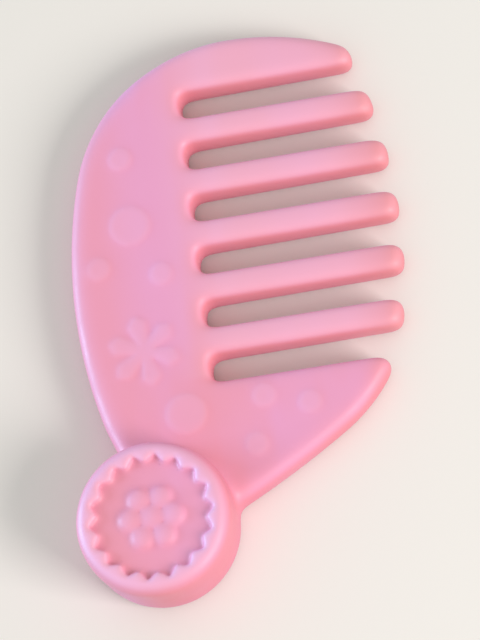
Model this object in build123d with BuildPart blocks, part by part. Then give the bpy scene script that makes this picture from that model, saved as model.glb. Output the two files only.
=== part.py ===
from build123d import *
import os

# A toy wide tooth comb: one soft plastic moulding with a round badge at its lower end.
# Sizes in millimetres.  The origin is on the badge's axis, in the plane of the flat back.
# X runs along the teeth towards their tips, Y across the teeth towards the top horn, Z up.

# ---- Teeth, counted up from the badge ----
inner_tooth_count = 5
tooth_pitch = 6.1
slot_width = 2.95
root_corner_radius = 0.9
root_line = 7.15            # from the badge's axis to the bottoms of the slots, along X
last_slot = 16.15           # from the badge's axis to the lowest slot, along Y

# ---- Outline: tangent arcs round the teeth, from the badge's axis over the crown and back ----
shoulder_radius = 18.5
shoulder_turn = 75.7        # degrees, from the crown down to the spine
crown_reach = 5.8           # from the root line to the highest point
top_horn_depth = 5.75       # from the highest slot to the crown
top_tip_reach = 19.2        # from the root line to the top horn's tip
top_tip_depth = 2.5         # from the highest slot to the top horn's outer corner
lower_tip_reach = 20.5      # from the root line to the tip line's lower end
lower_tip_heading = 247.6   # degrees, from the tip line into the lower horn
belly_radius = 18.4         # long edge of the lower horn
belly_turn = 35.0
lower_edge_offset = 2.4     # the lower edge ends this far to the side of the badge's axis
lower_edge_heading = 19.1
tip_line_radius = 64.0      # shallow arc that trims the teeth
horn_tip_radius = 1.6
junction_radius = 0.7       # where the outline runs into the badge

# ---- Thickness and edges ----
spine_thickness = 4.7
tip_thickness = 3.8
face_rounding = 1.5
back_rounding = 1.25
slot_rounding = 1.0

# ---- Badge ----
badge_radius = 8.2
badge_height = 8.6
badge_rounding = 1.35
recess_depth = 0.75
recess_radius = 6.75
saw_depth = 1.0
saw_count = 18
saw_turn = 11.0             # degrees from X to the first point
rosette_height = 0.6
rosette_petal_count = 6
rosette_petal_radius = 1.3
rosette_ring_radius = 2.3
rosette_centre_radius = 1.6

# ---- Raised marks on the face ----
mark_height = 0.2
small_dot_radius = 1.2
large_dot_radius = 2.15
small_dots = [(-7.0, 9.9), (-10.6, -2.4), (-3.9, -4.0), (5.5, -19.3), (10.2, -20.7), (4.1, -24.4)]
large_dots = [(-6.7, 2.0), (-2.9, -20.0)]
flower_centre = (-6.6, -12.4)
flower_petal_count = 6
flower_petal_length = 3.9
flower_petal_belly = 3.0    # from the centre to the widest place of a petal
flower_petal_half_width = 0.85
flower_hub_half_width = 0.25
flower_turn = 40.0

# ---- Worked out from the sizes above ----
slot_count = inner_tooth_count + 1
slot_span = (slot_count - 1) * tooth_pitch
middle_tooth = last_slot + slot_span / 2
top_slot_edge = last_slot + slot_span + slot_width / 2
crown = (root_line + crown_reach, top_slot_edge + top_horn_depth)
top_tip = (root_line + top_tip_reach, top_slot_edge + top_tip_depth)
lower_tip = (root_line + lower_tip_reach, last_slot)
root_centre = (root_line, middle_tooth)     # the raised marks are placed from here
badge_floor = badge_height - recess_depth


def heading(degrees):
    """Unit vector that many degrees from X, in the plane of the back."""
    return Vector(1, 0).rotate(Axis.Z, degrees)


# ---- The badge with its rolled edge, up to the top of its rim ----
with BuildPart() as rolled_badge:
    with BuildSketch(Plane.XY.offset(back_rounding)):
        Circle(badge_radius)
    extrude(amount=badge_height - back_rounding)
    fillet(rolled_badge.faces().sort_by(Axis.Z)[-1].edges(), badge_rounding)

# ---- The whole moulding up to the badge's floor, which is then parted into its named pieces ----
floor_plane = Plane.XY.offset(badge_floor)

with BuildPart() as moulding:
    with BuildSketch() as plan:
        with BuildLine():
            shoulder = JernArc(crown, heading(180), shoulder_radius, shoulder_turn)
            spine = TangentArc(shoulder @ 1, (0, 0), tangent=shoulder % 1)
            brow = TangentArc(crown, top_tip, tangent=(1, 0))
            tip_line = RadiusArc(top_tip, lower_tip, tip_line_radius)
            belly = JernArc(lower_tip, heading(lower_tip_heading), belly_radius, -belly_turn)
            lower_end = heading(lower_edge_heading - 90) * lower_edge_offset
            lower_edge = TangentArc(belly @ 1, lower_end, tangent=belly % 1)
            Line(lower_end, spine @ 1)
        make_face()
        Circle(badge_radius)
        fillet([plan.vertices().sort_by_distance(tip)[0] for tip in (top_tip, lower_tip)], horn_tip_radius)
        fillet(plan.vertices().sort_by_distance((0, 0))[:2], junction_radius)
    extrude(amount=badge_height)

    # The face slopes down evenly from the spine to the tips.
    tip_reach = tip_line.bounding_box().max.X
    spine_reach = spine.bounding_box().min.X
    face_fall = (spine_thickness - tip_thickness) / (tip_reach - spine_reach)
    face_plane = Plane((spine_reach, 0, spine_thickness), z_dir=(face_fall, 0, 1))
    split(bisect_by=face_plane, keep=Keep.BOTTOM)

    fillet(moulding.faces().sort_by(Axis.Z)[-1].edges(), face_rounding)
    fillet(moulding.faces().sort_by(Axis.Z)[0].edges(), back_rounding)

    # Slots, open at the tips and rounded all round.
    with BuildSketch(Plane(root_centre)) as slots:
        with GridLocations(0, tooth_pitch, 1, slot_count):
            Rectangle(2 * top_tip_reach, slot_width, align=(Align.MIN, Align.CENTER))
        fillet(slots.vertices().group_by(Axis.X)[0], root_corner_radius)
    extrude(amount=badge_height, mode=Mode.SUBTRACT)
    root_uprights = moulding.edges(Select.LAST).filter_by(Axis.Z).filter_by_position(
        Axis.X, root_line - root_corner_radius, root_line + root_corner_radius
    )
    fillet([edge for edge in moulding.edges(Select.LAST) if edge not in root_uprights], slot_rounding)

    # The badge stands through the body, up to the floor of its recess.
    add(rolled_badge.part)
    split(bisect_by=floor_plane, keep=Keep.BOTTOM)

# ---- The moulding, parted at the badge's wall and along the root line ----
root_plane = Plane.YZ.offset(root_line)

with BuildPart() as badge_column:
    Cylinder(badge_radius, badge_height, align=(Align.CENTER, Align.CENTER, Align.MIN))

with BuildPart() as badge_disc:
    add(moulding.part)
    add(badge_column.part, mode=Mode.INTERSECT)

with BuildPart() as comb_back:
    add(moulding.part)
    add(badge_column.part, mode=Mode.SUBTRACT)
    split(bisect_by=root_plane, keep=Keep.BOTTOM)

with BuildPart() as all_teeth:
    add(moulding.part)
    add(badge_column.part, mode=Mode.SUBTRACT)
    split(bisect_by=root_plane, keep=Keep.TOP)

teeth = []
for tooth_solid in all_teeth.solids().sort_by(Axis.Y, reverse=True):
    with BuildPart() as tooth:
        add(tooth_solid)
    teeth.append(tooth)

# ---- Raised rim of the badge, with saw teeth that point inwards ----
saw_step = 180 / saw_count
saw_line = [
    heading(saw_turn + step * saw_step) * (recess_radius - saw_depth * (1 - step % 2))
    for step in range(2 * saw_count)
]
with BuildPart() as badge_rim:
    add(rolled_badge.part)
    split(bisect_by=floor_plane, keep=Keep.TOP)
    with BuildSketch(floor_plane):
        Polygon(*saw_line, align=None)
    extrude(amount=recess_depth, mode=Mode.SUBTRACT)

# ---- Raised rosette on the badge's floor ----
with BuildPart() as badge_rosette:
    with BuildSketch(floor_plane):
        Circle(rosette_centre_radius)
        with PolarLocations(rosette_ring_radius, rosette_petal_count):
            Circle(rosette_petal_radius)
    extrude(amount=rosette_height)

# ---- Raised marks: each is a slice of the same face, lifted by the marks' height ----
lifted_moulding = Pos(0, 0, mark_height) * moulding.part

with BuildPart() as relief_dots:
    with BuildSketch(Plane(root_centre)):
        with Locations(small_dots):
            Circle(small_dot_radius)
        with Locations(large_dots):
            Circle(large_dot_radius)
    extrude(amount=badge_height)
    add(lifted_moulding, mode=Mode.INTERSECT)
    add(moulding.part, mode=Mode.SUBTRACT)

with BuildPart() as relief_flower:
    with BuildSketch(Plane(root_centre)):
        with Locations(flower_centre):
            with PolarLocations(0, flower_petal_count, flower_turn):
                Polygon(
                    (0, -flower_hub_half_width),
                    (flower_petal_belly, -flower_petal_half_width),
                    (flower_petal_length, 0),
                    (flower_petal_belly, flower_petal_half_width),
                    (0, flower_hub_half_width),
                    align=None,
                )
    extrude(amount=badge_height)
    add(lifted_moulding, mode=Mode.INTERSECT)
    add(moulding.part, mode=Mode.SUBTRACT)

# ---- One file for each named piece ----
pieces = {
    "comb_back": comb_back,
    "badge_disc": badge_disc,
    "badge_rim": badge_rim,
    "badge_rosette": badge_rosette,
    "relief_dots": relief_dots,
    "relief_flower": relief_flower,
    "top_horn": teeth[0],
    "lower_horn": teeth[-1],
}
for number, inner_tooth in enumerate(teeth[1:-1], start=1):
    pieces[f"inner_tooth_{number}"] = inner_tooth

os.makedirs("parts", exist_ok=True)
for name, piece in pieces.items():
    piece.part.label = name
    export_step(piece.part, f"parts/{name}.step")
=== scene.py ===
"""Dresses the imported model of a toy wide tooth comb.

The comb is one moulding of soft vinyl.  Its surface is made here as one continuous skin
round the frame's solids, with the soft blends that a moulding has where its forms meet,
and the skin is then parted again into the frame's named pieces.  Lengths are in metres.
"""

import logging
import math
from collections.abc import Iterable
from dataclasses import dataclass, replace
from enum import Enum

import bmesh
import bpy
import numpy as np
from bpy.types import ID, Material, Mesh, Node, NodeSocket, NodeTree, Object, World
from mathutils import Matrix, Vector
from mathutils.bvhtree import BVHTree


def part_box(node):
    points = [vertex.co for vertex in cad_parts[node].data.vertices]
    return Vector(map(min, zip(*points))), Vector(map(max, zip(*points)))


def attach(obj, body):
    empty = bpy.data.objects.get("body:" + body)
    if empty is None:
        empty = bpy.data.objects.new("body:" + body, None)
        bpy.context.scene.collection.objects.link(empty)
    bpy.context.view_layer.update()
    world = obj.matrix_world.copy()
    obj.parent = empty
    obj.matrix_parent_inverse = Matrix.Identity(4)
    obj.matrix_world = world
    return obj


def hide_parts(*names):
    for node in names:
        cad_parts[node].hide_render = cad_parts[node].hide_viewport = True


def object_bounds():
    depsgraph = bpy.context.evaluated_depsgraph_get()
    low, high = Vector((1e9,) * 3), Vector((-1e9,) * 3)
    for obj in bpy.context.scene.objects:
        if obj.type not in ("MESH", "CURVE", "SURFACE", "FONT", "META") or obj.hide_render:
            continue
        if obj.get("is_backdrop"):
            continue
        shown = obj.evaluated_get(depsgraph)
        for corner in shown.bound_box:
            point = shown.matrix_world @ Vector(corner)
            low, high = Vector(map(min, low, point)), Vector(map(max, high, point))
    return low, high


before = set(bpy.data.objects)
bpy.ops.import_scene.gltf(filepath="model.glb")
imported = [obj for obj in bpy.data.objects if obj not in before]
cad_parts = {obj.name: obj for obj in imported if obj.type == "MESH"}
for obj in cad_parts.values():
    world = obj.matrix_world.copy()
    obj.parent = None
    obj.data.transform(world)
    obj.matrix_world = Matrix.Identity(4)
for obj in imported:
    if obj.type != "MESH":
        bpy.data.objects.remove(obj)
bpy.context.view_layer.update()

Pair = tuple[float, float]  # a place in the XY plane, or where a range begins and ends

MM = 0.001
INNER_TEETH = tuple(f"inner_tooth_{number}" for number in range(1, 6))
FAR = 100.0 * MM  # past the comb on every side
SAME_POINT = 1e-4 * MM  # points nearer than this are one
NOISE_SPREAD = (0.3, 0.7)  # most of a noise texture's values lie between these
log = logging.getLogger("comb")


class Slot(Enum):
    """The record's material slots."""

    BACK = "back_plastic"
    TOOTH = "tooth_plastic"
    BADGE = "badge_plastic"
    MARK = "mark_plastic"


class Note(Enum):
    """What is noted on the skin's points."""

    BEND = "bend"  # how far a point stands out from those round it, in millimetres
    LIFT = "lift"  # how far a raised form has risen, from 0 on the ground to 1 on its top
    NEAR_MARK = "near_mark"  # 1 on and beside a raised form, falling to 0 a little way off


class Source(Enum):
    """What a finish can follow over a surface."""

    COOL_MELT = "cool melt"
    WARM_MELT = "warm melt"
    PATCH = "patch"
    GRAIN = "grain"
    X = "X"
    Y = "Y"
    UP = "facing up"
    LIFT = "lift"
    BEND = "bend"


class Region(Enum):
    """The regions of the skin that are softened in their own way."""

    MARK = "beside the raised forms"
    TOOTH = "the teeth, beyond their roots"
    HOLLOW = "the hollow round the badge's foot"
    SPINE = "the back, away from the teeth and the badge"


class Input(Enum):
    """The kinds of value that a Geometry Nodes tree takes."""

    COUNT = "NodeSocketInt"
    SIZE = "NodeSocketFloat"
    MATERIAL = "NodeSocketMaterial"


# ---------------- colour and bearings


def linear(hex_colour: str) -> tuple[float, float, float, float]:
    """Turns an sRGB hex colour into linear RGBA.

    Args:
        hex_colour: Six hex digits, with or without a leading '#'.

    Returns:
        The linear red, green and blue, and an alpha of 1.
    """
    digits = hex_colour.lstrip("#")
    parts = [int(digits[i : i + 2], 16) / 255 for i in (0, 2, 4)]
    red, green, blue = (p / 12.92 if p <= 0.04045 else ((p + 0.055) / 1.055) ** 2.4 for p in parts)
    return red, green, blue, 1.0


def direction(azimuth: float, elevation: float) -> Vector:
    """Gives the direction of a bearing.

    Args:
        azimuth: Degrees from X towards Y.
        elevation: Degrees above the floor.

    Returns:
        The unit vector that points there.
    """
    turn, rise = math.radians(azimuth), math.radians(elevation)
    flat = math.cos(rise)
    return Vector((math.cos(turn) * flat, math.sin(turn) * flat, math.sin(rise)))


# ---------------- meshes


def holder_of(data: ID, name: str = "holder") -> Object:
    """Puts a mesh, a light or a camera in a new object at the origin, linked to the scene.

    Args:
        data: The mesh, the light or the camera.
        name: The object's name.

    Returns:
        The new object.
    """
    holder = bpy.data.objects.new(name, data)
    bpy.context.scene.collection.objects.link(holder)
    return holder


def evaluated(holder: Object) -> Mesh:
    """Makes a plain mesh of an object with its modifiers, and removes the object.

    Args:
        holder: The object.

    Returns:
        The plain mesh.
    """
    depsgraph = bpy.context.evaluated_depsgraph_get()
    mesh = bpy.data.meshes.new_from_object(holder.evaluated_get(depsgraph))
    bpy.data.objects.remove(holder)
    return mesh


def plain_mesh(work: bmesh.types.BMesh, name: str) -> Mesh:
    """Turns finished work into a mesh, and frees it.

    Args:
        work: The finished work.
        name: The mesh's name.

    Returns:
        The mesh.
    """
    mesh = bpy.data.meshes.new(name)
    work.to_mesh(mesh)
    work.free()
    return mesh


def parted(mesh: Mesh, solid: Mesh) -> list[Mesh]:
    """Parts a closed mesh in two with a closed solid.

    Args:
        mesh: The mesh, which is left as it was.
        solid: The cutting solid.

    Returns:
        What lies inside the solid and what lies outside it, each closed again.
    """
    tool = holder_of(solid)
    halves = []
    for operation in ("INTERSECT", "DIFFERENCE"):
        holder = holder_of(mesh)
        cutter = holder.modifiers.new("cut", "BOOLEAN")
        cutter.operation = operation
        cutter.solver = "MANIFOLD"
        cutter.object = tool
        halves.append(evaluated(holder))
    bpy.data.objects.remove(tool)
    return halves


def joined(meshes: Iterable[Mesh], name: str) -> Mesh:
    """Puts several meshes in one, with their doubled points merged.

    Args:
        meshes: The meshes, which are left as they were.
        name: The new mesh's name.

    Returns:
        The one mesh.
    """
    work = bmesh.new()
    for mesh in meshes:
        work.from_mesh(mesh)
    bmesh.ops.remove_doubles(work, verts=work.verts, dist=SAME_POINT)
    return plain_mesh(work, name)


def read(
    items: bpy.types.bpy_prop_collection, name: str, width: int = 1, kind: type = np.float32
) -> np.ndarray:
    """Reads one property of many items.

    Args:
        items: The items, such as a mesh's vertices.
        name: The property's name.
        width: How many numbers the property has.
        kind: The kind of number that it holds.

    Returns:
        The values, with a row for each item where the property has several.
    """
    values = np.empty(len(items) * width, kind)
    items.foreach_get(name, values)
    return values.reshape(-1, width) if width > 1 else values


def prism(outline: list[Pair], low: float, high: float) -> Mesh:
    """Makes an upright prism.

    Args:
        outline: The outline's corners, anticlockwise, in the XY plane.
        low: Height of its bottom.
        high: Height of its top.

    Returns:
        The closed prism.
    """
    work = bmesh.new()
    floor = work.faces.new([work.verts.new((x, y, low)) for x, y in outline])
    for item in bmesh.ops.extrude_face_region(work, geom=[floor])["geom"]:
        if isinstance(item, bmesh.types.BMVert):
            item.co.z = high
    bmesh.ops.recalc_face_normals(work, faces=work.faces)
    return plain_mesh(work, "prism")


def column(radius: float, centre: Pair = (0.0, 0.0), sides: int = 192) -> Mesh:
    """Makes a tall round column, as a cutting solid.

    Args:
        radius: The column's radius.
        centre: Where its axis stands.
        sides: How many flats stand for the round.

    Returns:
        The closed column.
    """
    step = math.tau / sides
    outline = [
        (centre[0] + radius * math.cos(k * step), centre[1] + radius * math.sin(k * step))
        for k in range(sides)
    ]
    return prism(outline, -FAR, FAR)


def block(x: float = -FAR, z: float = -FAR) -> Mesh:
    """Makes a block of all that lies past an X and above a height, as a cutting solid."""
    return prism([(x, -FAR), (FAR, -FAR), (FAR, FAR), (x, FAR)], z, FAR)


def loose_parts(mesh: Mesh) -> list[Mesh]:
    """Parts a mesh into its separate closed shells.

    Args:
        mesh: The mesh, which is left as it was.

    Returns:
        The shells, from the highest Y to the lowest.
    """
    work = bmesh.new()
    work.from_mesh(mesh)
    unseen = set(work.verts)
    shells: list[tuple[float, set[int]]] = []
    while unseen:
        shell, front = [], [unseen.pop()]
        while front:
            vert = front.pop()
            shell.append(vert)
            beside = {edge.other_vert(vert) for edge in vert.link_edges} & unseen
            unseen -= beside
            front.extend(beside)
        middle = sum(vert.co.y for vert in shell) / len(shell)
        shells.append((middle, {vert.index for vert in shell}))
    work.free()
    parts = []
    for _, kept in sorted(shells, key=lambda shell: -shell[0]):
        part = bmesh.new()
        part.from_mesh(mesh)
        others = [vert for vert in part.verts if vert.index not in kept]
        bmesh.ops.delete(part, geom=others, context="VERTS")
        parts.append(plain_mesh(part, "shell"))
    return parts


# ---------------- nodes


class Nodes:
    """A node tree that is filled from empty."""

    def __init__(self, tree: NodeTree) -> None:
        """Takes a tree and empties it."""
        self.tree = tree
        tree.nodes.clear()

    def add(self, kind: str, inputs: dict[str | int, object] | None = None, **settings: object) -> Node:
        """Adds one node with its settings, values and links.

        Args:
            kind: The node's type name.
            inputs: Values, sockets, or nodes that stand for their first output, by the
                input's name or number.
            **settings: The node's own properties.

        Returns:
            The new node.
        """
        node = self.tree.nodes.new(kind)
        for name, value in settings.items():
            setattr(node, name, value)
        for key, value in (inputs or {}).items():
            if isinstance(value, Node):
                value = value.outputs[0]
            if isinstance(value, NodeSocket):
                self.tree.links.new(value, node.inputs[key])
            else:
                node.inputs[key].default_value = value
        return node

    def passed(self, spans: Iterable[tuple[Node | NodeSocket, Pair]], whole: float = 1.0) -> Node:
        """Works out how far all of several spans have been passed, smoothly.

        Args:
            spans: What each span follows, and its range.
            whole: What is given where all have been passed.

        Returns:
            A node that gives 0 where one of them has not begun.
        """
        share = whole
        for value, (low, high) in spans:
            share = self.add(
                "ShaderNodeMapRange",
                {"Value": value, "From Min": low, "From Max": high, "To Max": share},
                interpolation_type="SMOOTHSTEP",
            )
        return share


class NodeModel(Nodes):
    """A Geometry Nodes tree with named inputs, run on a mesh to give a plain mesh."""

    def __init__(self, name: str, inputs: dict[str, Input]) -> None:
        """Starts the tree.

        Args:
            name: The tree's name.
            inputs: The kind of each named input, beside the geometry and the material.
        """
        super().__init__(bpy.data.node_groups.new(name, "GeometryNodeTree"))
        face = self.tree.interface
        face.new_socket("Geometry", in_out="INPUT", socket_type="NodeSocketGeometry")
        for label, kind in {**inputs, "Material": Input.MATERIAL}.items():
            face.new_socket(label, in_out="INPUT", socket_type=kind.value)
        face.new_socket("Geometry", in_out="OUTPUT", socket_type="NodeSocketGeometry")
        self.start = self.add("NodeGroupInput")

    def given(self, label: str) -> NodeSocket:
        """Gives the socket of a named input."""
        return self.start.outputs[label]

    def close(self, geometry: Node) -> "NodeModel":
        """Ends the tree in Realize Instances and Set Material.

        Args:
            geometry: The node that gives the finished geometry.

        Returns:
            The model itself.
        """
        real = self.add("GeometryNodeRealizeInstances", {"Geometry": geometry})
        dressed = self.add(
            "GeometryNodeSetMaterial", {"Geometry": real, "Material": self.given("Material")}
        )
        self.add("NodeGroupOutput", {"Geometry": dressed})
        return self

    def run(self, source: Mesh, values: dict[str, object]) -> Mesh:
        """Runs the tree on a mesh.

        Args:
            source: The mesh that the tree starts from.
            values: A value for each named input.

        Returns:
            The plain mesh that comes out.
        """
        holder = holder_of(source)
        modifier = holder.modifiers.new(self.tree.name, "NODES")
        modifier.node_group = self.tree
        for item in self.tree.interface.items_tree:
            if item.in_out == "INPUT" and item.name in values:
                modifier[item.identifier] = values[item.name]
        return evaluated(holder)


def ring_model() -> NodeModel:
    """Makes the tree that copies one boss evenly round the Z axis, each copy turned with it.

    Returns:
        The tree, whose inputs are the count, the ring's radius and the whole ring's turn.
    """
    model = NodeModel(
        "ring_of_bosses", {"Count": Input.COUNT, "Ring Radius": Input.SIZE, "Turn": Input.SIZE}
    )
    places = model.add(
        "GeometryNodeMeshCircle",
        {"Vertices": model.given("Count"), "Radius": model.given("Ring Radius")},
    )
    step = model.add("ShaderNodeMath", {0: math.tau, 1: model.given("Count")}, operation="DIVIDE")
    index = model.add("GeometryNodeInputIndex")
    angle = model.add("ShaderNodeMath", {0: index, 1: step}, operation="MULTIPLY")
    facing = model.add("ShaderNodeCombineXYZ", {"Z": angle})
    copies = model.add(
        "GeometryNodeInstanceOnPoints",
        {"Points": places, "Instance": model.given("Geometry"), "Rotation": facing},
    )
    whole_turn = model.add("ShaderNodeCombineXYZ", {"Z": model.given("Turn")})
    turned = model.add("GeometryNodeTransform", {"Geometry": copies, "Rotation": whole_turn})
    return model.close(turned)


def dots_model() -> NodeModel:
    """Makes the tree that stands a round boss on each point, as wide as the point's own radius.

    Returns:
        The tree, whose inputs are the boss's height and the flats that stand for its round.
    """
    model = NodeModel("raised_dots", {"Height": Input.SIZE, "Sides": Input.COUNT})
    boss = model.add(
        "GeometryNodeMeshCylinder",
        {"Vertices": model.given("Sides"), "Radius": 1.0, "Depth": model.given("Height")},
    )
    radius = model.add("GeometryNodeInputNamedAttribute", {"Name": Dots.RADIUS_NAME}, data_type="FLOAT")
    width = model.add("ShaderNodeCombineXYZ", {"X": radius, "Y": radius, "Z": 1.0})
    copies = model.add(
        "GeometryNodeInstanceOnPoints",
        {"Points": model.given("Geometry"), "Instance": boss, "Scale": width},
    )
    return model.close(copies)


@dataclass(frozen=True)
class Softening:
    """How the skin is drawn in, as soft vinyl fills a mould's corners.

    The edges, the teeth and the hollow round the badge's foot are drawn more than the small
    raised forms on the face and on the badge.  The spine then swells out again.  Each pair
    says where a region begins and where it is whole.
    """

    passes: int = 34
    edge_weight: float = 0.9
    mark_weight: float = 0.055
    hollow_weight: float = 1.0
    mark_over_face: Pair = (-0.25 * MM, -0.05 * MM)
    tooth_past_root: Pair = (0.0, 3.0 * MM)
    tooth_over_horn: Pair = (0.0, 0.5 * MM)
    hollow_off_wall: Pair = (1.6 * MM, 0.0)
    hollow_under_floor: Pair = (0.0, 0.1 * MM)
    spine_past_root: Pair = (-0.5 * MM, -8.5 * MM)
    spine_off_wall: Pair = (0.5 * MM, 5.0 * MM)
    swell: float = 0.2 * MM
    bend_passes: int = 12

    def soften(self, skin: Mesh, places: dict[str, float], material: Material) -> Mesh:
        """Softens a skin.

        Args:
            skin: The skin, with its NEAR_MARK note.
            places: Where the comb's forms lie, by the tree's input.
            material: What the skin is made of.

        Returns:
            The softened skin, with its BEND note.
        """
        sizes = {
            "Edge Weight": self.edge_weight,
            "Mark Weight": self.mark_weight,
            "Swell": self.swell,
            **places,
        }
        values = {"Passes": self.passes, "Material": material, **sizes}
        return self._model(list(sizes)).run(skin, values)

    def _model(self, sizes: list[str]) -> NodeModel:
        """Makes the tree that draws every point of a skin towards its neighbours, and notes how
        far each point stands out from those round it.

        Args:
            sizes: The tree's inputs, beside how often it draws.

        Returns:
            The tree.
        """
        model = NodeModel(
            "soften_skin", {"Passes": Input.COUNT, **{size: Input.SIZE for size in sizes}}
        )
        place = model.add("GeometryNodeInputPosition")
        shares = self._shares(model, place)
        weight = model.given("Edge Weight")
        for region, its_weight in (
            (Region.MARK, model.given("Mark Weight")),
            (Region.TOOTH, model.given("Edge Weight")),
            (Region.HOLLOW, self.hollow_weight),
        ):
            weight = model.add("ShaderNodeMix", {0: shares[region], 2: weight, 3: its_weight})
        drawn = model.add(
            "GeometryNodeBlurAttribute",
            {"Value": place, "Iterations": model.given("Passes"), "Weight": weight},
            data_type="FLOAT_VECTOR",
        )
        softened = model.add(
            "GeometryNodeSetPosition", {"Geometry": model.given("Geometry"), "Position": drawn}
        )
        normal = model.add("GeometryNodeInputNormal")
        swell = model.add(
            "ShaderNodeMath", {0: shares[Region.SPINE], 1: model.given("Swell")}, operation="MULTIPLY"
        )
        sideways = model.add("ShaderNodeCombineXYZ", {"X": swell, "Y": swell})
        outwards = model.add("ShaderNodeVectorMath", {0: normal, 1: sideways}, operation="MULTIPLY")
        swollen = model.add("GeometryNodeSetPosition", {"Geometry": softened, "Offset": outwards})
        around = model.add(
            "GeometryNodeBlurAttribute",
            {"Value": place, "Iterations": self.bend_passes, "Weight": 1.0},
            data_type="FLOAT_VECTOR",
        )
        stands_out = model.add("ShaderNodeVectorMath", {0: place, 1: around}, operation="SUBTRACT")
        bend = model.add("ShaderNodeVectorMath", {0: stands_out, 1: normal}, operation="DOT_PRODUCT")
        in_millimetres = model.add(
            "ShaderNodeMath", {0: bend.outputs["Value"], 1: MM}, operation="DIVIDE"
        )
        noted = model.add(
            "GeometryNodeStoreNamedAttribute",
            {"Geometry": swollen, "Name": Note.BEND.value, "Value": in_millimetres},
            data_type="FLOAT",
            domain="POINT",
        )
        return model.close(noted)

    def _shares(self, model: NodeModel, place: Node) -> dict[Region, Node]:
        """Works out how far each point lies in each region.

        Args:
            model: The tree.
            place: The node that gives the point's place.

        Returns:
            A node for each region, which gives 0 outside it and 1 well inside.
        """
        x, y, z = model.add("ShaderNodeSeparateXYZ", {0: place}).outputs
        near_mark = model.add(
            "GeometryNodeInputNamedAttribute", {"Name": Note.NEAR_MARK.value}, data_type="FLOAT"
        )
        levelled = model.add(
            "ShaderNodeMath", {0: x, 1: model.given("Face Fall"), 2: z}, operation="MULTIPLY_ADD"
        )
        flat = model.add("ShaderNodeCombineXYZ", {"X": x, "Y": y})
        reach = model.add("ShaderNodeVectorMath", {0: flat}, operation="LENGTH")
        over_face, past_root, over_horn, under_floor, past_wall = (
            model.add("ShaderNodeMath", {0: more, 1: less}, operation="SUBTRACT")
            for more, less in (
                (levelled, model.given("Face Height")),
                (x, model.given("Tooth Root")),
                (y, model.given("Tooth Low")),
                (model.given("Badge Floor"), z),
                (reach.outputs["Value"], model.given("Badge Radius")),
            )
        )
        off_wall = model.add("ShaderNodeMath", {0: past_wall}, operation="ABSOLUTE")
        spans = {
            Region.MARK: ((near_mark, (0.0, 1.0)), (over_face, self.mark_over_face)),
            Region.TOOTH: ((past_root, self.tooth_past_root), (over_horn, self.tooth_over_horn)),
            Region.HOLLOW: ((off_wall, self.hollow_off_wall), (under_floor, self.hollow_under_floor)),
            Region.SPINE: ((past_root, self.spine_past_root), (past_wall, self.spine_off_wall)),
        }
        return {region: model.passed(its_spans) for region, its_spans in spans.items()}


# ---------------- finishes


@dataclass(frozen=True)
class Span:
    """A range of a source over which a tint comes in smoothly, from none to its share."""

    source: Source
    low: float
    high: float


@dataclass(frozen=True)
class Tint:
    """A colour that comes in where all its spans have been passed."""

    colour: str
    share: float
    spans: tuple[Span, ...]


@dataclass(frozen=True)
class Drift:
    """A noise that a finish follows: how long its waves are across and along the comb."""

    source: Source
    across: float
    along: float
    detail: float = 2.0
    seed: float | None = None  # gives another pattern of the same noise


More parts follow.
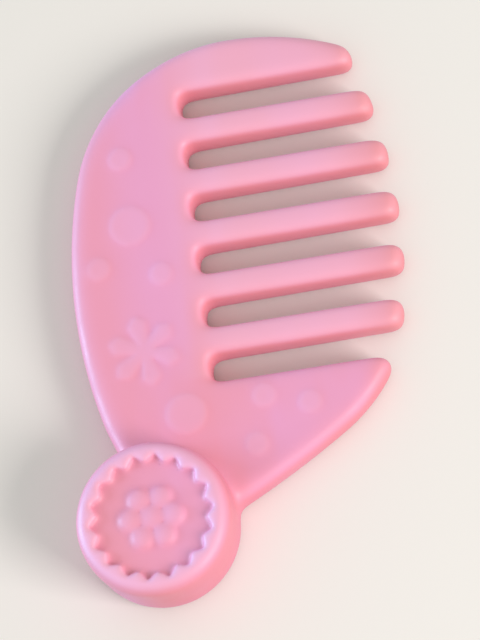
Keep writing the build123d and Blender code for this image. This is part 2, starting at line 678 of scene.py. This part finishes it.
@dataclass(frozen=True)
class SoftVinyl:
    """Plasticised vinyl, injection moulded in a vapour-blasted steel tool.

    It gives the eye a satin, faintly waxy surface: the colour goes right through and drifts
    a little where the melt flowed, the gloss is broad and weak, and the edges catch light,
    partly by the sheen and partly as a painted highlight.  Painted light and shade are laid
    into the colour too: painted highlights on convex edges and on the tops of raised forms,
    painted shade in concave creases, and the sides painted warmer and darker, as painted light
    that has crossed the vinyl and as painted shade.  The blasted tool's grain, really about
    0.05 mm, is too fine to show, so it is drawn coarser.
    """

    name: str
    colour: str = "#ED99B0"
    melt: tuple[Tint, ...] = (
        Tint("#EAA0C8", 0.7, (Span(Source.COOL_MELT, 0.4, 0.65), Span(Source.X, -4.0 * MM, 2.0 * MM))),
        Tint("#EF99A8", 0.45, (Span(Source.WARM_MELT, 0.45, 0.75),)),
    )
    # painted light: thin parts are painted paler or warmer, standing in for light that comes through
    # the thin vinyl
    through_light: tuple[Tint, ...] = ()
    # painted shade and painted light: surfaces that turn sideways are painted warmer and darker
    sides: Tint = Tint("#EE8486", 0.5, (Span(Source.UP, 0.7, 0.1),))
    # painted highlight: the tops of raised forms are painted paler and cooler
    raised: Tint = Tint("#F4B9D8", 0.25, (Span(Source.LIFT, 0.1, 0.9),))
    # painted highlight along convex edges
    edge_highlight: Tint = Tint("#FBC6E2", 0.15, (Span(Source.BEND, 0.0, 0.12),))
    # painted shade in concave creases
    crease_shade: Tint = Tint("#DA7A98", 0.5, (Span(Source.BEND, 0.0, -0.12),))
    drifts: tuple[Drift, ...] = (
        Drift(Source.COOL_MELT, 9.0 * MM, 34.0 * MM),
        # as the first, but 1.3 times as fine
        Drift(Source.WARM_MELT, 9.0 * MM / 1.3, 34.0 * MM / 1.3, seed=5.2),
        Drift(Source.PATCH, 3.0 * MM, 3.0 * MM, detail=3.0),
        Drift(Source.GRAIN, 0.35 * MM, 0.35 * MM),
    )
    roughness: float = 0.5
    roughness_drift: float = 0.07
    grain_depth: float = 0.006 * MM
    ior: float = 1.53
    sheen: float = 0.18
    sheen_roughness: float = 0.45
    sheen_tint: str = "#DFCBFF"

    def material(self) -> Material:
        """Builds the node material.

        Returns:
            The material.
        """
        made = bpy.data.materials.new(self.name)
        made.use_nodes = True
        nodes = Nodes(made.node_tree)
        sources = self._sources(nodes)
        roughness = nodes.add(
            "ShaderNodeMapRange",
            {
                "Value": sources[Source.PATCH],
                "From Min": NOISE_SPREAD[0],
                "From Max": NOISE_SPREAD[1],
                "To Min": self.roughness - self.roughness_drift,
                "To Max": self.roughness + self.roughness_drift,
            },
        )
        grain = nodes.add(
            "ShaderNodeBump",
            {"Height": sources[Source.GRAIN], "Distance": self.grain_depth, "Strength": 1.0},
        )
        shade = nodes.add(
            "ShaderNodeBsdfPrincipled",
            {
                "Base Color": self._colour(nodes, sources),
                "Roughness": roughness,
                "Normal": grain,
                "IOR": self.ior,
                "Sheen Weight": self.sheen,
                "Sheen Roughness": self.sheen_roughness,
                "Sheen Tint": linear(self.sheen_tint),
            },
        )
        nodes.add("ShaderNodeOutputMaterial", {"Surface": shade})
        return made

    def _sources(self, nodes: Nodes) -> dict[Source, NodeSocket]:
        """Reads what the finish follows: the place on the comb, the way that the surface faces,
        the skin's notes and the drifts.

        Args:
            nodes: The material's nodes.

        Returns:
            The socket of each source.
        """
        place = nodes.add("ShaderNodeTexCoord")
        along = nodes.add("ShaderNodeSeparateXYZ", {0: place.outputs["Object"]})
        facing = nodes.add("ShaderNodeSeparateXYZ", {0: place.outputs["Normal"]})
        lift = nodes.add("ShaderNodeAttribute", attribute_name=Note.LIFT.value)
        bend = nodes.add("ShaderNodeAttribute", attribute_name=Note.BEND.value)
        sources = {
            Source.X: along.outputs["X"],
            Source.Y: along.outputs["Y"],
            Source.UP: facing.outputs["Z"],
            Source.LIFT: lift.outputs["Fac"],
            Source.BEND: bend.outputs["Fac"],
        }
        for drift in self.drifts:
            scale = (1 / drift.across, 1 / drift.along, 1 / drift.across)
            stretched = nodes.add(
                "ShaderNodeMapping", {"Vector": place.outputs["Object"], "Scale": scale}
            )
            noise = nodes.add(
                "ShaderNodeTexNoise", {"Vector": stretched, "Scale": 1.0, "Detail": drift.detail}
            )
            if drift.seed is not None:
                noise.noise_dimensions = "4D"
                noise.inputs["W"].default_value = drift.seed
            sources[drift.source] = noise.outputs[0]
        return sources

    def _colour(self, nodes: Nodes, sources: dict[Source, NodeSocket]) -> NodeSocket:
        """Lays the tints over the base colour, one after another, painted light and shade among them.

        Args:
            nodes: The material's nodes.
            sources: The socket of each source.

        Returns:
            The socket that gives the colour.
        """
        colour = linear(self.colour)
        for tint in (*self.melt, *self.through_light, self.sides, self.raised, self.edge_highlight, self.crease_shade):
            spans = ((sources[span.source], (span.low, span.high)) for span in tint.spans)
            share = nodes.passed(spans, tint.share)
            colour = nodes.add(
                "ShaderNodeMix", {0: share, 6: colour, 7: linear(tint.colour)}, data_type="RGBA"
            ).outputs[2]
        return colour


@dataclass(frozen=True)
class MattBoard:
    """Uncoated white card: a matt, very slightly uneven floor that keeps soft shadows.

    The camera and reflections see it pale; to bounced light it is greyer, as a card that
    reaches only a little way is, so that the comb's sides are not lit up from below.
    """

    name: str = "matt_card"
    colour: str = "#F8F8F5"
    bounce_colour: str = "#BFBEBC"
    fibre: float = 0.8 * MM
    fibre_depth: float = 0.004 * MM
    roughness: float = 0.9
    specular: float = 0.2

    def material(self) -> Material:
        """Builds the node material.

        Returns:
            The material.
        """
        made = bpy.data.materials.new(self.name)
        made.use_nodes = True
        nodes = Nodes(made.node_tree)
        place = nodes.add("ShaderNodeTexCoord")
        fibre = nodes.add(
            "ShaderNodeTexNoise",
            {"Vector": place.outputs["Object"], "Scale": 1 / self.fibre, "Detail": 3.0},
        )
        bump = nodes.add("ShaderNodeBump", {"Height": fibre, "Distance": self.fibre_depth})
        ray = nodes.add("ShaderNodeLightPath")
        share = ray.outputs["Is Camera Ray"]
        for other in ("Is Glossy Ray", "Is Transmission Ray"):
            share = nodes.add("ShaderNodeMath", {0: share, 1: ray.outputs[other]}, operation="MAXIMUM")
        seen = nodes.add(
            "ShaderNodeMix",
            {0: share, 6: linear(self.bounce_colour), 7: linear(self.colour)},
            data_type="RGBA",
        )
        shade = nodes.add(
            "ShaderNodeBsdfPrincipled",
            {
                "Base Color": seen.outputs[2],
                "Roughness": self.roughness,
                "Specular IOR Level": self.specular,
                "Normal": bump,
            },
        )
        nodes.add("ShaderNodeOutputMaterial", {"Surface": shade})
        return made


# ---------------- the comb's forms


def middle_root() -> Vector:
    """Gives the middle of the middle tooth's root, from which the marks are placed."""
    low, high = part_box(INNER_TEETH[2])
    return Vector((low.x, (low.y + high.y) / 2, 0.0))


@dataclass(frozen=True)
class Face:
    """The comb's face, which slopes evenly from the spine down to the tips."""

    spine_thickness: float = 4.7 * MM
    tip_thickness: float = 3.8 * MM

    def fall(self) -> float:
        """Works out how much the face falls for each unit along X.

        Returns:
            The fall over the run.
        """
        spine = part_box("comb_back")[0].x
        tip = max(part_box(tooth)[1].x for tooth in INNER_TEETH)
        return (self.spine_thickness - self.tip_thickness) / (tip - spine)

    def height(self) -> float:
        """Gives the face's height over the badge's axis, carried on through the badge."""
        return self.spine_thickness + self.fall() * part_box("comb_back")[0].x

    def lift(self) -> Matrix:
        """Works out the transform that sets forms drawn on z = 0 upright on the sloping face.

        Returns:
            The transform.
        """
        lift = Matrix.Identity(4)
        lift[2][0] = -self.fall()
        lift[2][3] = self.height()
        return lift


@dataclass(frozen=True)
class Dots:
    """Round dots raised on the face, whose places are in millimetres from the middle root."""

    RADIUS_NAME = "dot_radius"
    small: float = 1.2 * MM
    large: float = 2.15 * MM
    small_places: tuple[Pair, ...] = (
        (-7.0, 9.9), (-10.6, -2.4), (-3.9, -4.0), (5.5, -19.3), (10.2, -20.7), (4.1, -24.4),
    )
    large_places: tuple[Pair, ...] = ((-6.7, 2.0), (-2.9, -20.0))
    height: float = 0.15 * MM
    depth: float = 0.5 * MM
    sides: int = 48

    def build(self, material: Material) -> Mesh:
        """Makes the dots on z = 0.

        Args:
            material: What the dots are made of.

        Returns:
            One mesh of closed round bosses.
        """
        circles = self.circles()
        points = bpy.data.meshes.new("dot_points")
        middle = (self.height - self.depth) / 2
        points.from_pydata([(x, y, middle) for x, y, _ in circles], [], [])
        widths = points.attributes.new(self.RADIUS_NAME, "FLOAT", "POINT")
        widths.data.foreach_set("value", [radius for _, _, radius in circles])
        values = {"Height": self.height + self.depth, "Sides": self.sides, "Material": material}
        return dots_model().run(points, values)

    def circles(self) -> list[tuple[float, float, float]]:
        """Places the dots.

        Returns:
            Each dot's centre and radius.
        """
        root = middle_root()
        small = [(*place, self.small) for place in self.small_places]
        large = [(*place, self.large) for place in self.large_places]
        return [(root.x + x * MM, root.y + y * MM, radius) for x, y, radius in (*small, *large)]


@dataclass(frozen=True)
class Flower:
    """A flower of kite-shaped petals raised on the face, placed as the dots are."""

    centre: Pair = (-6.6, -12.4)
    petals: int = 6
    length: float = 3.9 * MM
    belly: float = 3.1 * MM  # from the centre to the petal's widest place
    half_width: float = 0.9 * MM
    hub: float = 0.15 * MM
    turn: float = math.radians(40.0)
    height: float = 0.16 * MM
    depth: float = 0.5 * MM

    def build(self, ring: NodeModel, material: Material) -> Mesh:
        """Makes the flower on z = 0.

        Args:
            ring: The tree that copies a petal round the centre.
            material: What the petals are made of.

        Returns:
            One mesh of closed petals that overlap at the centre.
        """
        outline = [
            (0.0, -self.hub),
            (self.belly, -self.half_width),
            (self.length, 0.0),
            (self.belly, self.half_width),
            (0.0, self.hub),
        ]
        values = {"Count": self.petals, "Ring Radius": 0.0, "Turn": self.turn, "Material": material}
        mesh = ring.run(prism(outline, -self.depth, self.height), values)
        mesh.transform(Matrix.Translation((*self.place(), 0.0)))
        return mesh

    def place(self) -> Pair:
        """Gives the flower's centre."""
        root = middle_root()
        return root.x + self.centre[0] * MM, root.y + self.centre[1] * MM


@dataclass(frozen=True)
class Rosette:
    """Six low domes round a seventh, raised on the badge's floor."""

    petals: int = 6
    petal_radius: float = 1.3 * MM
    petal_ring: float = 2.3 * MM
    eye_radius: float = 1.35 * MM
    height: float = 0.6 * MM
    sides: int = 40
    rings: int = 24

    def build(self, ring: NodeModel, material: Material) -> list[Mesh]:
        """Makes the domes on the badge's floor.

        Args:
            ring: The tree that copies a dome round the badge's axis.
            material: What they are made of.

        Returns:
            The ring of petals and the eye, which overlap each other and the badge's disc.
        """
        values = {
            "Count": self.petals, "Ring Radius": self.petal_ring, "Turn": 0.0, "Material": material,
        }
        domes = [ring.run(self._dome(self.petal_radius), values), self._dome(self.eye_radius)]
        for mesh in domes:
            mesh.transform(Matrix.Translation((0.0, 0.0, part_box("badge_rim")[0].z)))
        return domes

    def _dome(self, radius: float) -> Mesh:
        """Makes a low dome, closed below, with its widest circle on z = 0.

        Args:
            radius: The radius of its widest circle.

        Returns:
            The closed dome.
        """
        work = bmesh.new()
        bmesh.ops.create_uvsphere(work, u_segments=self.sides, v_segments=self.rings, radius=radius)
        for vert in work.verts:
            vert.co.z *= self.height / radius
        return plain_mesh(work, "dome")


class SkinRecord:
    """What the whole skin knows at each point: its smooth normal and its notes.

    The parted pieces keep them, so that no seam shows where they meet.
    """

    ON_SKIN = 0.004 * MM  # a face whose middle is nearer to the skin than this was not cut
    NO_SIZE = 1e-30  # stands for the size of a triangle or a vector that has none

    def __init__(self, skin: Mesh, lift: np.ndarray) -> None:
        """Reads the skin's triangles, normals and notes.

        Args:
            skin: The whole skin, before it is parted.
            lift: How far each point has risen on a raised form.
        """
        skin.calc_loop_triangles()
        self.corners = read(skin.loop_triangles, "vertices", 3, np.int32)
        self.points = read(skin.vertices, "co", 3).astype(float)
        self.normals = read(skin.vertex_normals, "vector", 3)
        bend = read(skin.attributes[Note.BEND.value].data, "value")
        self.notes = {Note.BEND: bend, Note.LIFT: lift}
        self.search = BVHTree.FromPolygons(self.points.tolist(), self.corners.tolist())

    def nearest(self, points: np.ndarray) -> tuple[np.ndarray, np.ndarray]:
        """Finds each point's place on the skin.

        Args:
            points: Points, one in each row.

        Returns:
            The triangle nearest to each point, and how far it is.
        """
        found = [self.search.find_nearest(point) for point in points.tolist()]
        return np.array([hit[2] for hit in found]), np.array([hit[3] for hit in found])

    def shares(self, points: np.ndarray) -> tuple[np.ndarray, np.ndarray]:
        """Finds the triangle of the skin under each point.

        Args:
            points: Points, one in each row.

        Returns:
            The triangle's corners, and each corner's share in the point.
        """
        corners = self.corners[self.nearest(points)[0]]
        a, b, c = (self.points[corners[:, k]] for k in range(3))
        whole = np.cross(b - a, c - a)
        size = np.maximum((whole * whole).sum(1), self.NO_SIZE)
        share_a = (np.cross(b - points, c - points) * whole).sum(1) / size
        share_b = (np.cross(c - points, a - points) * whole).sum(1) / size
        shares = np.stack([share_a, share_b, 1 - share_a - share_b], 1)
        return corners, np.clip(shares, 0, 1)

    def keep(self, piece: Mesh) -> None:
        """Gives a piece the skin's notes and normals, and flat normals where it was parted.

        Args:
            piece: The parted piece, which is changed.
        """
        corners, shares = self.shares(read(piece.vertices, "co", 3).astype(float))
        for note, values in self.notes.items():
            old = piece.attributes.get(note.value)
            if old is not None:
                piece.attributes.remove(old)
            kept = piece.attributes.new(note.value, "FLOAT", "POINT")
            kept.data.foreach_set("value", (values[corners] * shares).sum(1).astype(np.float32))
        smooth = (self.normals[corners] * shares[:, :, None]).sum(1)
        smooth /= np.maximum(np.linalg.norm(smooth, axis=1, keepdims=True), self.NO_SIZE)
        _, away = self.nearest(read(piece.polygons, "center", 3))
        corner_count = read(piece.polygons, "loop_total", kind=np.int32)
        corner_point = read(piece.loops, "vertex_index", kind=np.int32)
        on_skin = np.repeat(away < self.ON_SKIN, corner_count)
        flat = np.repeat(read(piece.polygons, "normal", 3), corner_count, axis=0)
        normals = np.where(on_skin[:, None], smooth[corner_point], flat)
        piece.polygons.foreach_set("use_smooth", np.ones(len(piece.polygons), bool))
        piece.normals_split_custom_set(normals.tolist())


@dataclass
class Moulding:
    """The comb's whole skin and its parting into named pieces."""

    finishes: dict[Slot, Material]
    face: Face = Face()
    dots: Dots = Dots()
    flower: Flower = Flower()
    rosette: Rosette = Rosette()
    softening: Softening = Softening()
    voxel: float = 0.18 * MM
    mark_margin: float = 0.3 * MM
    mark_fade: float = 0.6 * MM
    badge_flat: float = 6.9 * MM
    badge_hold: float = 0.9
    badge_shoulder: float = 0.4 * MM
    film: float = 0.05 * MM
    root_bow: float = 0.1 * MM
    rosette_reach: float = 4.5 * MM
    badge_clear: float = 9.5 * MM
    flower_clear: float = 4.8 * MM

    def build(self) -> None:
        """Makes the skin, parts it and dresses the pieces."""
        skin = self._skin()
        record = SkinRecord(skin, self._risen(skin))
        for node, (mesh, slot) in self._parted(skin).items():
            self._dress(node, mesh, slot, record)

    def _risen(self, skin: Mesh) -> np.ndarray:
        """Measures how far each point has risen on a raised form, from 0 to 1.

        Args:
            skin: The whole skin.

        Returns:
            The share of the form's height, for each point: over the face for the marks, and
            over the floor of its recess for what is on the badge.
        """
        x, y, z = read(skin.vertices, "co", 3).astype(float).T
        low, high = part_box("badge_rim")
        on_badge = np.hypot(x, y) < high.x + self.film
        over_floor = (z - low.z) / (high.z - low.z)
        over_face = (z + self.face.fall() * x - self.face.height()) / self.dots.height
        by_foot = np.hypot(x, y) < self.badge_clear
        return np.clip(np.where(on_badge, over_floor, np.where(by_foot, 0.0, over_face)), 0, 1)

    def _near_marks(self, skin: Mesh) -> np.ndarray:
        """Gives 1 on and beside a raised form, a little less on the badge, and less further off.

        Args:
            skin: The whole skin.

        Returns:
            The value, for each point.
        """
        x, y, _ = read(skin.vertices, "co", 3).T
        circles = [
            (0.0, 0.0, self.badge_flat, self.badge_hold),
            (*self.flower.place(), self.flower.length, 1.0),
            *((*circle, 1.0) for circle in self.dots.circles()),
        ]
        held = []
        for centre_x, centre_y, radius, hold in circles:
            beyond = np.hypot(x - centre_x, y - centre_y) - radius - self.mark_margin
            held.append(hold * np.clip(1 - beyond / self.mark_fade, 0, 1))
        return np.max(held, axis=0).astype(np.float32)

    def _skin(self) -> Mesh:
        """Wraps one skin round the frame's solids and the raised forms, and softens it.

        Returns:
            The whole softened skin, with its notes.
        """
        ring = ring_model()
        mark = self.finishes[Slot.MARK]
        marks = [self.dots.build(mark), self.flower.build(ring, mark)]
        for mesh in marks:
            mesh.transform(self.face.lift())
        solids = [
            joined([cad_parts[name].data], name)
            for name in ("comb_back", "badge_disc", "badge_rim", "top_horn", "lower_horn", *INNER_TEETH)
        ]
        together = joined([*solids, *marks, *self.rosette.build(ring, mark)], "together")
        holder = holder_of(together)
        wrap = holder.modifiers.new("wrap", "REMESH")
        wrap.mode = "VOXEL"
        wrap.voxel_size = self.voxel
        wrapped = evaluated(holder)
        near = wrapped.attributes.new(Note.NEAR_MARK.value, "FLOAT", "POINT")
        near.data.foreach_set("value", self._near_marks(wrapped))
        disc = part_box("badge_disc")[1]
        places = {
            "Face Height": self.face.height(),
            "Face Fall": self.face.fall(),
            "Tooth Root": middle_root().x,
            "Tooth Low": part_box(INNER_TEETH[-1])[0].y,
            "Badge Radius": disc.x,
            "Badge Floor": disc.z - self.badge_shoulder,
        }
        return self.softening.soften(wrapped, places, self.finishes[Slot.BACK])

    def _parted(self, skin: Mesh) -> dict[str, tuple[Mesh, Slot]]:
        """Parts the skin at the frame's own boundaries.

        Args:
            skin: The whole softened skin.

        Returns:
            A closed mesh and its slot for each CAD node.
        """
        badge, rest = parted(skin, column(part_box("badge_disc")[1].x))
        raised, disc = parted(badge, block(z=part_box("badge_rim")[0].z + self.film))
        rosette, rim = parted(raised, column(self.rosette_reach))
        over_face = block(z=self.film)
        over_face.transform(self.face.lift())
        _, over_face = parted(over_face, column(self.badge_clear))
        marks, rest = parted(rest, over_face)
        flower, dots = parted(marks, column(self.flower_clear, self.flower.place()))
        teeth, back = parted(rest, block(x=middle_root().x + self.root_bow))
        names = ("top_horn", *INNER_TEETH, "lower_horn")
        pieces = {
            "comb_back": (back, Slot.BACK),
            "badge_disc": (disc, Slot.BADGE),
            "badge_rim": (rim, Slot.BADGE),
            "badge_rosette": (rosette, Slot.MARK),
            "relief_dots": (dots, Slot.MARK),
            "relief_flower": (flower, Slot.MARK),
        }
        for name, tooth in zip(names, loose_parts(teeth), strict=True):
            pieces[name] = (tooth, Slot.TOOTH)
        return pieces

    def _dress(self, node: str, mesh: Mesh, slot: Slot, record: SkinRecord) -> None:
        """Dresses one parted mesh and sets it in its CAD node's place.

        Args:
            node: The CAD node that the piece stands for.
            mesh: The closed mesh.
            slot: The record's slot that it takes its finish from.
            record: What the whole skin knows.
        """
        record.keep(mesh)
        mesh.materials.clear()
        mesh.materials.append(self.finishes[slot])
        piece = holder_of(mesh, f"soft_{node}")
        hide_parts(node)
        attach(piece, "root")
        log.info("%s: %d faces, %s", piece.name, len(mesh.polygons), slot.value)


# ---------------- studio


@dataclass(frozen=True)
class SoftLamp:
    """A square soft light that looks at the comb from a given bearing."""

    name: str
    azimuth: float  # degrees from X towards Y
    elevation: float  # degrees above the floor
    size: float
    watts: float
    colour: str
    flagged: bool = False  # kept off the floor, as by a flag on a stand
    distance: float = 0.7

    def build(self, target: Vector, floor: Object) -> None:
        """Makes the lamp.

        Args:
            target: The point that it looks at.
            floor: The floor, which a flagged lamp leaves unlit.
        """
        light = bpy.data.lights.new(self.name, "AREA")
        light.shape = "SQUARE"
        light.size = self.size
        light.energy = self.watts
        light.color = linear(self.colour)[:3]
        lamp = holder_of(light, self.name)
        lamp.location = target + self.distance * direction(self.azimuth, self.elevation)
        lamp.rotation_mode = "QUATERNION"
        lamp.rotation_quaternion = (target - lamp.location).to_track_quat("-Z", "Y")
        if self.flagged:
            unlit = bpy.data.collections.new(f"unlit_by_{self.name}")
            unlit.objects.link(floor)
            unlit.collection_objects[0].light_linking.link_state = "EXCLUDE"
            lamp.light_linking.receiver_collection = unlit


@dataclass(frozen=True)
class Camera:
    """The view: a long lens above the comb, tilted towards its lower edge."""

    target: Pair = (10.489 * MM, 22.235 * MM)
    distance: float = 264.78 * MM
    azimuth: float = -68.39  # degrees from X towards Y
    elevation: float = 69.51  # degrees above the floor
    roll: float = -7.075  # degrees
    lens: float = 137.99
    reach: Pair = (0.01, 10.0)

    def build(self) -> None:
        """Makes the camera and gives it to the scene."""
        data = bpy.data.cameras.new("camera")
        data.lens = self.lens
        data.clip_start, data.clip_end = self.reach
        camera = holder_of(data, "camera")
        back = direction(self.azimuth, self.elevation)
        right = Vector((0.0, 1.0, 0.0)).cross(back).normalized()
        up = back.cross(right)
        turn = Matrix.Rotation(math.radians(self.roll), 4, back)
        axes = Matrix((right, up, back)).transposed().to_4x4()
        camera.matrix_world = (
            Matrix.Translation(Vector((*self.target, 0.0)) + self.distance * back) @ turn @ axes
        )
        bpy.context.scene.camera = camera


@dataclass(frozen=True)
class Studio:
    """A pale card floor, soft light and the camera."""

    floor_half: float = 1.2
    lamps: tuple[SoftLamp, ...] = (
        SoftLamp("key", -32.0, 28.0, 0.3, 3.6, "#FFF2F0"),
        SoftLamp("edge", 171.0, 11.0, 0.34, 6.6, "#B0DAFF", flagged=True),
    )
    world_colour: str = "#FEFFFA"
    world_strength: float = 0.59

    def build(self) -> None:
        """Makes the floor, the lamps, the world and the camera, and sets the view."""
        low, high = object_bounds()
        floor = self._floor()
        for lamp in self.lamps:
            lamp.build((low + high) / 2, floor)
        bpy.context.scene.world = self._world()
        Camera().build()
        bpy.context.scene.view_settings.view_transform = "Standard"

    def _floor(self) -> Object:
        """Makes the floor.

        Returns:
            The floor's object, declared as stage.
        """
        half = self.floor_half
        corners = [(-half, -half, 0.0), (half, -half, 0.0), (half, half, 0.0), (-half, half, 0.0)]
        mesh = bpy.data.meshes.new("floor")
        mesh.from_pydata(corners, [], [(0, 1, 2, 3)])
        mesh.materials.append(MattBoard().material())
        floor = holder_of(mesh, "floor")
        floor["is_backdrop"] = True
        return floor

    def _world(self) -> World:
        """Makes the even light from all round.

        Returns:
            The world.
        """
        world = bpy.data.worlds.new("studio")
        world.use_nodes = True
        nodes = Nodes(world.node_tree)
        sky = nodes.add(
            "ShaderNodeBackground",
            {"Color": linear(self.world_colour), "Strength": self.world_strength},
        )
        nodes.add("ShaderNodeOutputWorld", {"Surface": sky})
        return world


def main() -> None:
    """Builds the comb and the studio."""
    logging.basicConfig(level=logging.INFO, format="%(name)s: %(message)s")
    plain = SoftVinyl("moulded_vinyl_back")
    # The teeth are thinner than the back. The light that comes through thin vinyl is painted into their
    # colour: paler over the teeth, and warmer and darker at their tips, which is also painted shade.
    thin_glow = Tint(
        "#F3B2C7", 0.6, (Span(Source.X, 2.5 * MM, 11.0 * MM), Span(Source.Y, 14.6 * MM, 15.6 * MM))
    )
    # painted light and painted shade: the tips are painted warmer and darker, as light through the thin
    # vinyl and to damp the key lamp's highlight
    tips = Tint("#E88C88", 0.6, (Span(Source.X, 22.0 * MM, 29.0 * MM),))
    finishes = {
        Slot.BACK: replace(plain, through_light=(thin_glow,)),
        Slot.TOOTH: replace(plain, name="moulded_vinyl_teeth", through_light=(thin_glow, tips)),
        # the painted highlight on raised tops is stronger on the badge and weaker on the marks
        Slot.BADGE: replace(plain, name="moulded_vinyl_badge", raised=replace(plain.raised, share=0.6)),
        Slot.MARK: replace(plain, name="moulded_vinyl_marks", raised=replace(plain.raised, share=0.2)),
    }
    Moulding({slot: finish.material() for slot, finish in finishes.items()}).build()
    Studio().build()


if __name__ == "__main__":
    main()
